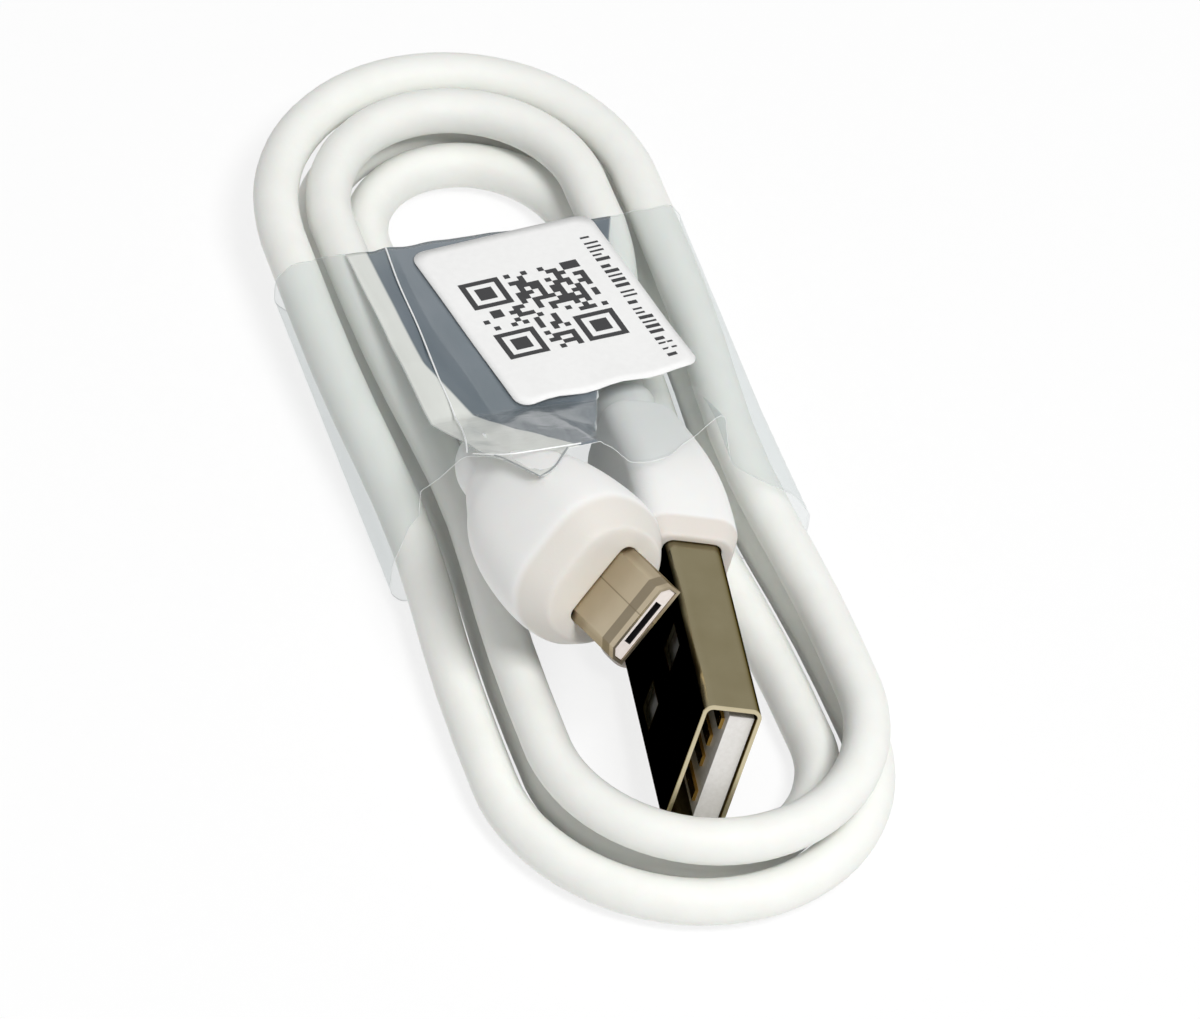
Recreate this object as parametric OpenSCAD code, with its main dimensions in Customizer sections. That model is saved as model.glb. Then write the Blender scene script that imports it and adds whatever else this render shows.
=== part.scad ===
// USB-A to micro-USB charging cable, wound into a long hank and held by a clear film band.
// Units: millimetres. +Z is up, +X points along the hank to the end where the plug noses lie.
// Origin: on the resting surface, under the middle of the hank.

/* [Cable] */
// Outer diameter of the round cable jacket
cable_d = 3.5; // [3:0.1:3.8]
// Diameter of one insulated core inside the cable
core_d = 0.8; // [0.6:0.05:0.95]

/* [Hank] */
// Length of the outermost turn, along its centreline
hank_l = 87.2; // [80:1:100]
// Width of the outermost turn, along its centreline
hank_w = 30.6; // [30:0.2:36]
// Depth of each rounded end as a share of half its width
end_fullness = 1.04; // [1:0.02:1.06]
// Clear space between neighbouring turns
turn_gap = 0.56; // [0.56:0.01:0.8]
// How far every turn is drawn in at the waist
waist_in = 1.2; // [0:0.1:2]
// Length over which the turns are drawn in
waist_len = 12; // [8:1:20]
// Sideways place of the hank's middle
hank_y = 0.4; // [0.2:0.1:1]

/* [USB-A plug] */
// Thickness of the steel shell
a_shell_t = 4.5; // [4.4:0.05:4.6]
// Width of the steel shell
a_shell_w = 12; // [11.8:0.1:12.2]
// Length of shell that shows in front of the grip
a_shell_l = 18.75; // [18:0.25:20]
// Sheet thickness of the shell
a_sheet = 0.3; // [0.25:0.05:0.4]
// Side of each square latch window
a_window = 2.5; // [2:0.1:2.8]
// Distance from the shell's mouth to the middle of the windows
a_window_x = 10.2; // [8:0.2:11]
// Distance between the two windows of one face
a_window_gap = 5.7; // [5:0.1:6]
// Thickness of the contact tongue
a_tongue_t = 1.9; // [1.7:0.05:2]
// Width of one contact strip
a_contact_w = 1; // [0.8:0.1:1.2]
// Length of the grip's moulded body
a_grip_l = 20; // [18:0.5:23]
// Thickness of the grip at its front
a_grip_t = 7.7; // [7.2:0.1:8.4]
// Width of the grip at its front
a_grip_w = 14.4; // [14:0.1:15]
// Length of the strain-relief neck behind the grip
a_neck_l = 3.5; // [3:0.5:6]

/* [Micro-USB plug] */
// Width of the steel shell
m_shell_w = 6.85; // [6.8:0.05:6.9]
// Thickness of the steel shell
m_shell_t = 1.8; // [1.75:0.05:1.85]
// Length of shell that shows in front of the grip
m_shell_l = 5.6; // [5.2:0.1:6.4]
// Sheet thickness of the shell
m_sheet = 0.25; // [0.2:0.01:0.3]
// Width of the slot that the contacts lie in
m_slot_w = 3.7; // [3.6:0.05:3.8]
// Height of the slot
m_slot_h = 0.65; // [0.6:0.05:0.7]
// Distance between the middles of neighbouring contacts
m_contact_pitch = 0.65; // [0.6:0.01:0.68]
// How far each retention hook stands out of the shell
m_hook_out = 0.35; // [0.2:0.05:0.45]
// Width of one retention hook
m_hook_w = 0.6; // [0.5:0.05:0.7]
// Length of the grip's moulded barrel
m_grip_l = 12.5; // [10:0.5:13]
// Width of the barrel
m_grip_w = 12.6; // [10:0.1:13]
// Thickness of the barrel
m_grip_t = 11; // [7.4:0.1:12]
// Length of the narrower neck behind the barrel
m_neck_l = 4; // [4:0.5:8]

/* [Packing] */
// Thickness of the clear film
film_t = 0.2; // [0.1:0.05:0.3]
// Length of the film band along the hank
film_l = 29; // [24:1:34]
// Length of the label along the hank
label_l = 20.4; // [14:0.2:21]
// Width of the label
label_w = 15; // [10:0.5:16]
// Thickness of the label
label_t = 0.12; // [0.1:0.02:0.2]

/* [Hidden] */
$fn = 48;
// Clearance between pieces that are assembled into each other
fit = 0.04;
// Clearance between pieces that only lie on each other
rest_gap = 0.06;

// ---- hank -------------------------------------------------------------------------------
cable_r = cable_d / 2;
turn_pitch = cable_d + turn_gap;
layer_low = film_t + rest_gap + cable_r;
layer_high = layer_low + turn_pitch;
hank_x = -0.2;
waist_x = 2.5;
// One turn is cut into 24 rings: nine in each rounded end and three in each run.
rings_per_turn = 24;
quarter_end = 4.5 / rings_per_turn;
run_share = 3 / rings_per_turn;
// The winding starts low and inside, spirals out, climbs along the left run while the
// spiral reverses, and spirals in again on top. Places along it are counted in turns.
turn_start = 0.5625;
turn_climb = 2.5;
turn_end = 3.9375;
climb_half = 0.09;

function steps_down(v) = v * v * (3 - 2 * v);
function clamp01(v) = max(0, min(1, v));
function turn_offset(t) = turn_pitch * abs(t - turn_climb);
function turn_height(t) = layer_low + turn_pitch
    * steps_down(clamp01((t - turn_climb + climb_half) / (2 * climb_half)));
function draw_in(x) = waist_in * exp(-pow((x - waist_x) / waist_len, 2));

// Point of the loop at share q of a turn, counted from the far tip, moved inwards by off
function loop_point(q, off) =
    let (
        side_r = hank_w / 2 - off,
        end_r = side_r * end_fullness,
        run_x = hank_l / 2 - off - end_r,
        near = q >= quarter_end + run_share && q <= 3 * quarter_end + run_share,
        on_right = q > quarter_end && q < quarter_end + run_share,
        on_left = q > 3 * quarter_end + run_share && q < 3 * quarter_end + 2 * run_share,
        angle = near ? 90 - 90 * (q - quarter_end - run_share) / quarter_end
            : q <= quarter_end ? 180 - 90 * q / quarter_end
            : -90 - 90 * (q - 3 * quarter_end - 2 * run_share) / quarter_end,
        x = on_right ? run_x * (2 * (q - quarter_end) / run_share - 1)
            : on_left ? run_x * (1 - 2 * (q - 3 * quarter_end - run_share) / run_share)
            : (near ? run_x : -run_x) + end_r * cos(angle),
        y = on_right ? side_r : on_left ? -side_r : side_r * sin(angle)
    )
    [x + hank_x, y * (1 - draw_in(x + hank_x) / side_r) + hank_y];

function hank_point(t) =
    let (q = t + 0.25 - floor(t + 0.25), p = loop_point(q, turn_offset(t)))
    [p[0], p[1], turn_height(t)];

function unit(v) = v / norm(v);
hank_turns = [for (i = [0 : floor((turn_end - turn_start) * rings_per_turn)])
    turn_start + i / rings_per_turn];
hank_core = [for (t = hank_turns) hank_point(t)];
hank_last = len(hank_core) - 1;
// Both ends of the winding lie along a run, and point to the near end
start_dir = [1, 0, 0];
end_dir = [1, 0, 0];
hank_start = hank_core[0] + start_dir * cable_d;
hank_end = hank_core[hank_last] + end_dir * cable_d;
hank_path = concat([hank_start], hank_core, [hank_end]);

// Least clear space between parts of the winding that are at least half a turn apart
function seg_gap(p, a, b) =
    let (s = clamp01(((p - a) * (b - a)) / ((b - a) * (b - a)))) norm(p - a - s * (b - a));
least_gap = min([for (i = [0 : hank_last]) for (j = [i + 12 : 1 : hank_last - 1])
    seg_gap(hank_core[i], hank_core[j], hank_core[j + 1])]) - cable_d;
hank_length = norm(hank_start - hank_core[0]) + norm(hank_end - hank_core[hank_last])
    + path_length(hank_core);
function path_length(p, i = 0) = i >= len(p) - 1 ? 0 : norm(p[i + 1] - p[i]) + path_length(p, i + 1);

// ---- tube swept along a path ------------------------------------------------------------
function tangent(p, i) =
    i == 0 ? unit(p[1] - p[0])
    : i == len(p) - 1 ? unit(p[i] - p[i - 1])
    : unit(unit(p[i + 1] - p[i]) + unit(p[i] - p[i - 1]));
function ring_at(p, i, r, sides) =
    let (t = tangent(p, i), s = unit(cross(t, [0, 0, 1])), u = cross(s, t))
    [for (k = [0 : sides - 1]) p[i] + r * (cos(360 * k / sides) * s + sin(360 * k / sides) * u)];

module swept_tube(path, r, sides) {
    rings = len(path);
    points = [for (i = [0 : rings - 1]) each ring_at(path, i, r, sides)];
    walls = [for (i = [0 : rings - 2]) for (k = [0 : sides - 1])
        let (a = i * sides + k, b = i * sides + (k + 1) % sides, c = a + sides, d = b + sides)
        each [[a, b, d], [a, d, c]]];
    front = [for (k = [1 : sides - 2]) [0, k + 1, k]];
    back = [for (k = [1 : sides - 2]) (rings - 1) * sides * [1, 1, 1] + [0, k, k + 1]];
    polyhedron(points = points, faces = concat(walls, front, back), convexity = 10);
}

module hank_solid() { swept_tube(hank_path, cable_r, 6); }

// ---- where the plugs lie ----------------------------------------------------------------
// Middle of each plug's mouth, and its turn: lean about its own axis, pitch, heading
a_mouth = [36.9, -1.6, 10.3];
a_turn = [-11, -5.5, -9.5];
m_mouth = [28.55, -5, 18];
m_turn = [43, -12, 12];
function heading(turn) = [cos(turn[1]) * cos(turn[2]), cos(turn[1]) * sin(turn[2]), -sin(turn[1])];
module at_usb_a() { translate(a_mouth) rotate(a_turn) children(); }
module at_micro() { translate(m_mouth) rotate(m_turn) children(); }

// A bar along X from x0 back to x1 with a rounded Y by Z outline
module bar(x0, x1, y, z, r) {
    translate([x1, 0, 0]) rotate([90, 0, 90]) linear_extrude(x0 - x1) rounded(y, z, r);
}
module rounded(y, z, r) {
    union() {
        square([y - 2 * r, z], center = true);
        square([y, z - 2 * r], center = true);
        for (sy = [-1, 1], sz = [-1, 1])
            translate([sy * (y / 2 - r), sz * (z / 2 - r)]) circle(r, $fn = 32);
    }
}
// A round rod along X from x0 back to x1
module rod(x0, x1, d) { translate([x1, 0, 0]) rotate([0, 90, 0]) cylinder(h = x0 - x1, d = d); }

// ---- USB-A plug: X = 0 at the mouth, the cable leaves towards -X -------------------------
a_inner_t = a_shell_t - 2 * a_sheet;
a_inner_w = a_shell_w - 2 * a_sheet;
a_bend_r = 0.8;
// Length of shell hidden in the grip, and of each piece behind it
a_shell_hidden = 5.5;
a_block_inset = 2;
a_tail_l = 3;
a_solder_l = 0.9;
a_wire_room = 3.3;
// Where the contact block starts behind the mouth, and how far the tongue and strips stand back
a_block_depth = 12.4;
a_tongue_inset = 0.5;
a_contact_insets = [1.2, 2.2, 2.2, 1.2];
// How much of the jacket reaches into the rear shield
jacket_inset = 1;
a_shell_back = -a_shell_l - a_shell_hidden;
a_block_back = a_shell_back + a_block_inset;
a_tail_back = a_block_back - a_tail_l;
a_shield_back = a_tail_back - a_solder_l - a_wire_room;
a_crimp_l = 2.5;
a_grip_back = -a_shell_l - a_grip_l;
a_end = a_grip_back - a_neck_l;
a_contact_t = 0.25;
a_contact_z = [-3.5, -1, 1, 3.5];
a_tongue_y = a_inner_t / 2 - fit - a_tongue_t;
a_contact_y = a_tongue_y - a_contact_t / 2;
a_neck_d = 4.9;
a_neck_step = 0.5;
neck_ring_l = 0.7;
// The grip: how far its front edge is eased, and its size where it meets the neck
grip_ease = 1;
a_grip_r = 2;
a_straight_l = 6;
a_tail_t = 6.1;
a_tail_w = 7.3;
a_core_z = [-0.45, -0.45, 0.45, 0.45];
a_core_y = [-0.45, 0.45, -0.45, 0.45];

module usb_a_shell() {
    color("silver") at_usb_a() difference() {
        bar(0, a_shell_back, a_shell_t, a_shell_w, a_bend_r);
        bar(1, a_shell_back - 1, a_inner_t, a_inner_w, a_bend_r - a_sheet);
        for (side = [-1, 1])
            translate([-a_window_x - a_window / 2, -a_shell_t, side * a_window_gap / 2 - a_window / 2])
                cube([a_window, 2 * a_shell_t, a_window]);
    }
}
module usb_a_insulator() {
    color("white") at_usb_a() difference() {
        union() {
            translate([-a_block_depth - 0.1, a_tongue_y, -a_inner_w / 2 + fit + a_bend_r])
                cube([a_block_depth + 0.1 - a_tongue_inset, a_tongue_t,
                    a_inner_w - 2 * fit - 2 * a_bend_r]);
            bar(-a_block_depth, a_block_back, a_inner_t - 2 * fit, a_inner_w - 2 * fit,
                a_bend_r - a_sheet);
        }
        for (z = a_contact_z)
            translate([a_block_back - 1, a_contact_y - a_contact_t / 2 - fit,
                z - a_contact_w / 2 - fit])
                cube([1 - a_block_depth - a_block_back, a_contact_t + fit, a_contact_w + 2 * fit]);
    }
}
module usb_a_contacts() {
    color("gold") at_usb_a() for (i = [0 : 3])
        translate([a_tail_back, a_contact_y - a_contact_t / 2, a_contact_z[i] - a_contact_w / 2])
            cube([-a_tail_back - a_contact_insets[i], a_contact_t, a_contact_w]);
}
module usb_a_solder() {
    color("silver") at_usb_a() for (z = a_contact_z)
        translate([0, a_contact_y, z]) rod(a_tail_back, a_tail_back - a_solder_l, core_d);
}
module usb_a_rear_shield() {
    color("silver") at_usb_a() difference() {
        union() {
            bar(a_shell_back, a_shield_back, a_shell_t, a_shell_w, a_bend_r);
            rod(a_shield_back, a_shield_back - a_crimp_l, cable_d + 2 * fit + 2 * a_sheet);
        }
        bar(a_shell_back + 1, a_shield_back + a_sheet, a_inner_t, a_inner_w, a_bend_r - a_sheet);
        rod(a_shell_back, a_shield_back - a_crimp_l - 1, cable_d + 2 * fit);
    }
}
module usb_a_jacket_end() {
    color("white") at_usb_a() rod(a_shield_back + jacket_inset, a_end, cable_d);
}
// One core: it leaves the jacket among the others and spreads to its contact
module usb_a_wire(i) {
    x_back = a_shield_back + jacket_inset;
    x_front = a_tail_back - a_solder_l;
    at_usb_a() hull() {
        translate([0, a_core_y[i], a_core_z[i]]) rod(x_back + 0.1, x_back, core_d, $fn = 16);
        translate([0, a_contact_y, a_contact_z[i]]) rod(x_front, x_front - 0.1, core_d, $fn = 16);
    }
}
module usb_a_wire_black() { color("black") usb_a_wire(0); }
module usb_a_wire_green() { color("green") usb_a_wire(1); }
module usb_a_wire_white() { color("white") usb_a_wire(2); }
module usb_a_wire_red() { color("red") usb_a_wire(3); }
module usb_a_overmould() {
    color("whitesmoke") at_usb_a() difference() {
        union() {
            hull() {
                bar(-a_shell_l, -a_shell_l - grip_ease / 2, a_grip_t - grip_ease,
                    a_grip_w - grip_ease, a_grip_r - grip_ease / 2);
                bar(-a_shell_l - grip_ease, -a_shell_l - a_straight_l, a_grip_t, a_grip_w, a_grip_r);
                bar(-a_shell_l - a_grip_l / 2, -a_shell_l - a_grip_l / 2 - grip_ease / 2,
                    a_grip_t - grip_ease / 2, a_grip_w - grip_ease, a_grip_r);
                bar(a_grip_back + grip_ease, a_grip_back, a_tail_t, a_tail_w, a_grip_r);
            }
            for (k = [0 : 1])
                rod(a_grip_back + 0.1, a_grip_back - neck_ring_l - k * (a_neck_l - neck_ring_l),
                    a_neck_d + a_neck_step * (1 - k));
        }
        bar(-a_shell_l + 1, a_shield_back - fit, a_shell_t + 2 * fit, a_shell_w + 2 * fit,
            a_bend_r);
        rod(a_shell_back, a_shield_back - a_crimp_l - fit, cable_d + 4 * fit + 2 * a_sheet);
        rod(a_shell_back, a_end - 1, cable_d + 2 * fit);
    }
}

// ---- micro plug: X = 0 at the mouth, Y along its width, hooks on the -Z side -------------
// Length of shell hidden in the barrel, and of each piece behind it
m_shell_hidden = 3;
m_block_inset = 0.6;
m_tail_l = 1.6;
m_solder_l = 0.6;
m_solder_d = 0.4;
m_wire_room = 2.4;
m_jacket_inset = 0.6;
m_block_front = -0.1;
m_contact_inset = 0.8;
m_shell_back = -m_shell_l - m_shell_hidden;
m_block_back = m_shell_back + m_block_inset;
m_tail_back = m_block_back - m_tail_l;
m_shield_back = m_tail_back - m_solder_l - m_wire_room;
m_crimp_l = 1.6;
m_grip_back = -m_shell_l - m_grip_l;
m_end = m_grip_back - m_neck_l;
m_bevel = 0.72;
m_inner_w = m_shell_w - 2 * m_sheet;
m_inner_t = m_shell_t - 2 * m_sheet;
m_contact_w = 0.32;
m_contact_t = 0.15;
m_slot_deep = 4.6;
m_slot_z = -m_inner_t / 2 + 0.32;
m_slot_top = m_slot_z + m_slot_h;
m_hook_y = 2.55;
m_arm_t = 0.25;
m_arm_front = -1.5;
m_arm_back = -m_shell_l - 0.6;
m_hook_l = 0.9;
m_arm_room = 0.12;
m_neck_w = 6.6;
m_neck_t = 6.2;
m_core_d = 0.7;
// The barrel: radius of its long edges, and the slope round its front
m_grip_r = 4.6;
// How much the barrel narrows towards the neck
m_grip_taper = 2.8;
m_front_bevel = 1.3;
m_front_l = 2.6;

// Outline of the micro plug: full width on the -Z side, slanted corners on the +Z side
module micro_outline(w, t) {
    b = m_bevel * t / m_shell_t;
    polygon([[-w / 2, -t / 2], [w / 2, -t / 2], [w / 2, t / 2 - b], [w / 2 - b, t / 2],
        [b - w / 2, t / 2], [-w / 2, t / 2 - b]]);
}
module micro_bar(x0, x1, w, t) {
    translate([x1, 0, 0]) rotate([90, 0, 90]) linear_extrude(x0 - x1) micro_outline(w, t);
}
module micro_hook_ways(extra) {
    for (side = [-1, 1])
        translate([m_arm_back - extra, side * m_hook_y - m_hook_w / 2 - extra, -m_shell_t])
            cube([m_arm_front - m_arm_back + 2 * extra, m_hook_w + 2 * extra,
                m_shell_t / 2 + m_sheet + m_arm_t + m_hook_out + 2 * m_arm_room]);
}
module micro_shell() {
    color("silver") at_micro() difference() {
        micro_bar(0, m_shell_back, m_shell_w, m_shell_t);
        micro_bar(1, m_shell_back - 1, m_inner_w, m_inner_t);
        for (side = [-1, 1])
            translate([m_arm_front - m_hook_l - m_arm_room,
                side * m_hook_y - m_hook_w / 2 - m_arm_room, -m_shell_t])
                cube([m_hook_l + 2 * m_arm_room, m_hook_w + 2 * m_arm_room, m_shell_t]);
    }
}
module micro_insulator() {
    color("linen") at_micro() difference() {
        micro_bar(m_block_front, m_block_back, m_inner_w - 2 * fit, m_inner_t - 2 * fit);
        translate([m_block_front - m_slot_deep, -m_slot_w / 2, m_slot_z])
            cube([m_slot_deep + 1, m_slot_w, m_slot_h]);
        for (i = [-2 : 2])
            translate([m_block_back - 1, i * m_contact_pitch - m_contact_w / 2 - fit,
                m_slot_top - m_contact_t - fit])
                cube([m_block_front - m_block_back, m_contact_w + 2 * fit,
                    m_contact_t + fit]);
        micro_hook_ways(m_arm_room);
    }
}
module micro_contacts() {
    color("gold") at_micro() for (i = [-2 : 2])
        translate([m_tail_back, i * m_contact_pitch - m_contact_w / 2, m_slot_top - m_contact_t])
            cube([-m_contact_inset - m_tail_back, m_contact_w, m_contact_t]);
}
m_wired = [-2, -1, 0, 2];
m_core_y = [-0.45, -0.45, 0.45, 0.45];
m_core_z = [-0.45, 0.45, -0.45, 0.45];
module micro_solder() {
    color("silver") at_micro() for (i = m_wired)
        translate([m_tail_back - m_solder_l, i * m_contact_pitch - m_solder_d / 2,
            m_slot_top - m_solder_d]) cube([m_solder_l, m_solder_d, m_solder_d]);
}
// A springy arm with a hook at its tip, rooted in the plug
module micro_latch(side) {
    at_micro() translate([0, side * m_hook_y - m_hook_w / 2, 0]) rotate([90, 0, 0])
        mirror([0, 0, 1]) linear_extrude(m_hook_w)
        let (low = -m_shell_t / 2 + m_sheet + m_arm_room, tip = -m_shell_t / 2 - m_hook_out)
        polygon([[m_arm_back, low], [m_arm_front - m_hook_l, low],
            [m_arm_front - m_hook_l, tip], [m_arm_front - m_hook_l * 0.6, tip],
            [m_arm_front, low], [m_arm_front, low + m_arm_t], [m_arm_back, low + m_arm_t]]);
}
module micro_latch_left() { color("silver") micro_latch(1); }
module micro_latch_right() { color("silver") micro_latch(-1); }
module micro_rear_shield() {
    color("silver") at_micro() difference() {
        union() {
            bar(m_shell_back, m_shield_back, m_shell_w, m_neck_t - 2, 0.6);
            rod(m_shield_back, m_shield_back - m_crimp_l, cable_d + 2 * fit + 2 * m_sheet);
        }
        bar(m_shell_back - m_sheet, m_shield_back + m_sheet, m_inner_w, m_neck_t - 2 - 2 * m_sheet, 0.4);
        micro_bar(m_shell_back + 1, m_shell_back - 1, m_inner_w, m_inner_t);
        rod(m_shell_back - 1, m_shield_back - m_crimp_l - 1, cable_d + 2 * fit);
    }
}
module micro_jacket_end() {
    color("white") at_micro() rod(m_shield_back + m_jacket_inset, m_end, cable_d);
}
module micro_wire(i) {
    x_back = m_shield_back + m_jacket_inset;
    x_front = m_tail_back - m_solder_l;
    at_micro() hull() {
        translate([0, m_core_y[i], m_core_z[i]]) rod(x_back + 0.1, x_back, m_core_d, $fn = 16);
        translate([0, m_wired[i] * m_contact_pitch, m_slot_top - m_solder_d / 2])
            rod(x_front, x_front - 0.1, m_core_d / 2, $fn = 16);
    }
}
module micro_wire_black() { color("black") micro_wire(0); }
module micro_wire_green() { color("green") micro_wire(1); }
module micro_wire_white() { color("white") micro_wire(2); }
module micro_wire_red() { color("red") micro_wire(3); }
module micro_overmould() {
    color("whitesmoke") at_micro() difference() {
        union() {
            hull() {
                bar(-m_shell_l, -m_shell_l - 0.3, m_grip_w - 2 * m_front_bevel,
                    m_grip_t - 2 * m_front_bevel, m_grip_r / 2);
                bar(-m_shell_l - m_front_l, -m_shell_l - 2 * m_front_l, m_grip_w, m_grip_t, m_grip_r);
                bar(m_grip_back + grip_ease, m_grip_back, m_grip_w - m_grip_taper,
                    m_grip_t - m_grip_taper / 2, m_grip_r - m_grip_taper / 4);
            }
            bar(m_grip_back + 0.1, m_end, m_neck_w, m_neck_t, 2.6);
        }
        micro_bar(-m_shell_l + 1, m_shell_back - fit, m_shell_w + 2 * fit, m_shell_t + 2 * fit);
        bar(m_shell_back + fit, m_shield_back - fit, m_shell_w + 2 * fit, m_neck_t - 2 + 2 * fit, 0.6);
        rod(m_shell_back, m_shield_back - m_crimp_l - fit, cable_d + 4 * fit + 2 * m_sheet);
        rod(m_shell_back, m_end - 1, cable_d + 2 * fit);
    }
}

// ---- leads from the hank to the plugs -----------------------------------------------------
// Each lead leaves what it meets straight for this far
lead_straight = 1;
a_lead_end = a_mouth + a_end * heading(a_turn);
m_lead_end = m_mouth + m_end * heading(m_turn);
a_lead_route = [[-20.4, 9.5, 6], [-16.5, 8.6, 5.9], [-12.5, 7.4, 5.9], [-8.5, 6.2, 6]];
m_lead_route = [[-18, -6.9, 2.6], [-11.7, -6.5, 4], [-5.3, -6.7, 6.2], [-0.4, -7.1, 8.7],
    [3.2, -8.7, 11.3]];
a_lead_path = concat([hank_end, hank_end + lead_straight * end_dir], a_lead_route,
    [a_lead_end - lead_straight * heading(a_turn), a_lead_end]);
m_lead_path = concat([hank_start, hank_start + lead_straight * start_dir], m_lead_route,
    [m_lead_end - lead_straight * heading(m_turn), m_lead_end]);

module cable_hank() { color("white") hank_solid(); }
module cable_lead_usb_a() { color("white") swept_tube(a_lead_path, cable_r, 8); }
module cable_lead_micro() { color("white") swept_tube(m_lead_path, cable_r, 8); }

// ---- film and label -----------------------------------------------------------------------
film_x0 = -22.8;
film_x1 = film_x0 + film_l;
film_knee = -1.5;
film_low_top = layer_high + cable_r + rest_gap + film_t;
film_knee_top = 10.8;
film_high_top = 14.8;
film_low_hump = 15.7;
film_slope = (film_knee_top - film_low_top) / (film_knee - film_x0);
film_side = cable_r + 0.15 + film_t;
film_left = hank_w / 2 - hank_y + film_side;
film_right = hank_w / 2 + hank_y - turn_pitch * (0.5 - run_share / 2) + film_side;
film_corner = 1.1;
film_crown = [-0.3, 9];
film_hump = [-10.9, -2];
film_pleat = 1.4;

// The cable bends only at its rings, so the band follows the waist from ring to ring
function ring_x(k) = hank_x + (hank_l / 2 - end_fullness * hank_w / 2) * k / 3;
function film_draw(x) = lookup(x, [for (k = [-3 : 2 : 3]) [ring_x(k), draw_in(ring_x(k))]]);
function film_shoulder(x) = film_low_top + film_slope * (min(x, film_knee) - film_x0)
    - (x > film_knee ? film_pleat * (x - film_knee) / (film_x1 - film_knee) : 0);
function film_rise(x, high) = film_shoulder(x) + (x <= film_knee ? 0
    : (high - film_shoulder(film_x1)) * (x - film_knee) / (film_x1 - film_knee));
// Outline of the band at x, anticlockwise seen from the near end, drawn in by g all round
function film_ring(x, g) =
    let (
        l = film_left - film_draw(x) - g,
        r = film_right - film_draw(x) - g,
        s = film_shoulder(x) - g,
        top = film_rise(x, film_high_top) - g,
        hump = film_rise(x, film_low_hump) - g,
        c = film_corner
    )
    [[x, c - l, g], [x, r - c, g], [x, r, g + c], [x, r, film_low_top - c - g],
        [x, r - c, film_low_top - g], [x, film_crown[1] + 1, s], [x, film_crown[1], top],
        [x, film_crown[0], top], [x, film_hump[1], hump], [x, film_hump[0], hump],
        [x, c - l, film_low_top - g], [x, -l, film_low_top - c - g], [x, -l, g + c]];
film_stations = [film_x0, ring_x(-1), film_knee, 2.8, film_x1];

module film_band() {
    outer = [for (x = film_stations) each film_ring(x, 0)];
    inner = [for (x = film_stations) each film_ring(x, film_t)];
    n = len(film_ring(0, 0));
    m = len(film_stations);
    k0 = n * m;
    walls = [for (j = [0 : m - 2]) for (i = [0 : n - 1])
        let (a = j * n + i, b = j * n + (i + 1) % n, c = a + n, d = b + n)
        each [[a, c, d], [a, d, b], [k0 + a, k0 + d, k0 + c], [k0 + a, k0 + b, k0 + d]]];
    rims = [for (i = [0 : n - 1])
        let (b = (i + 1) % n, e = n * (m - 1))
        each [[i, b, k0 + b], [i, k0 + b, k0 + i], [e + i, k0 + e + b, e + b],
            [e + i, k0 + e + i, k0 + e + b]]];
    color("azure", 0.4) polyhedron(points = concat(outer, inner), faces = concat(walls, rims),
        convexity = 6);
}

label_x = -12.3;
label_y = 1.9;
label_r = 1.2;
module label() {
    color("white") translate([label_x, label_y, film_low_top + film_slope * (label_x - film_x0)])
        rotate([0, -atan(film_slope), 0]) rotate([0, 0, 6.5]) translate([0, 0, 0.02])
        linear_extrude(label_t) rounded(label_l, label_w, label_r);
}

echo(str("least gap of the hank to itself: ", least_gap, " mm"));
echo(str("length wound in the hank: ", hank_length, " mm"));
echo(str("leads: ", path_length(a_lead_path), " and ", path_length(m_lead_path), " mm"));
echo(str("lead ends: ", a_lead_end, " ", m_lead_end, " hank ends ", hank_start, hank_end));

cable_hank();
cable_lead_usb_a();
cable_lead_micro();
usb_a_shell();
usb_a_insulator();
usb_a_contacts();
usb_a_solder();
usb_a_rear_shield();
usb_a_jacket_end();
usb_a_wire_red();
usb_a_wire_white();
usb_a_wire_green();
usb_a_wire_black();
usb_a_overmould();
micro_shell();
micro_insulator();
micro_contacts();
micro_solder();
micro_latch_left();
micro_latch_right();
micro_rear_shield();
micro_jacket_end();
micro_wire_red();
micro_wire_white();
micro_wire_green();
micro_wire_black();
micro_overmould();
film_band();
label();
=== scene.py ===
# %% [markdown]
# # A wound charging cable
# The part is a USB-A to micro-USB cable, wound into a long flat hank. Both plugs lie inside the
# loop, and a band of clear film with a label holds the bundle. The solids already have their
# real sizes and places. This lesson dresses them: a round cable on one smooth line, lofted
# grips, thin metal shells with rolled rims, creased film and a printed label.

# %% Load the frame
import bpy, bmesh, math, random
from mathutils import Matrix, Vector, noise


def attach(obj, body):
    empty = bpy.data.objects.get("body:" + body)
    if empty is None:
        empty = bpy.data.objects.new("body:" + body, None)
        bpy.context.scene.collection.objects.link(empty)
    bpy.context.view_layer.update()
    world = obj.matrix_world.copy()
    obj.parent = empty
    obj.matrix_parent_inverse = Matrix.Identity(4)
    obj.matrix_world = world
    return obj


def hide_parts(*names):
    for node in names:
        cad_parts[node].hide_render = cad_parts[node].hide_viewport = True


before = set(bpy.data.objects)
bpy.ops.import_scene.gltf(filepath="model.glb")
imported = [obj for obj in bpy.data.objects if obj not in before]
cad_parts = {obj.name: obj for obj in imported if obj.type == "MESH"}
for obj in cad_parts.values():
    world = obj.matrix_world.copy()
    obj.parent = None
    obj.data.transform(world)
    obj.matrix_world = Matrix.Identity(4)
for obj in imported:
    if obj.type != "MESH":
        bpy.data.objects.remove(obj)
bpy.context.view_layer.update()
MM = 0.001

# %% [markdown]
# ## The camera
# A long lens from far off keeps parallel runs of cable nearly parallel, as a product picture
# does. Azimuth turns from a camera that stands at -Y, elevation goes up from the floor, and
# the roll leans the whole picture. The focal length is written in pixels, and the picture's
# width turns it to millimetres.

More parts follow.
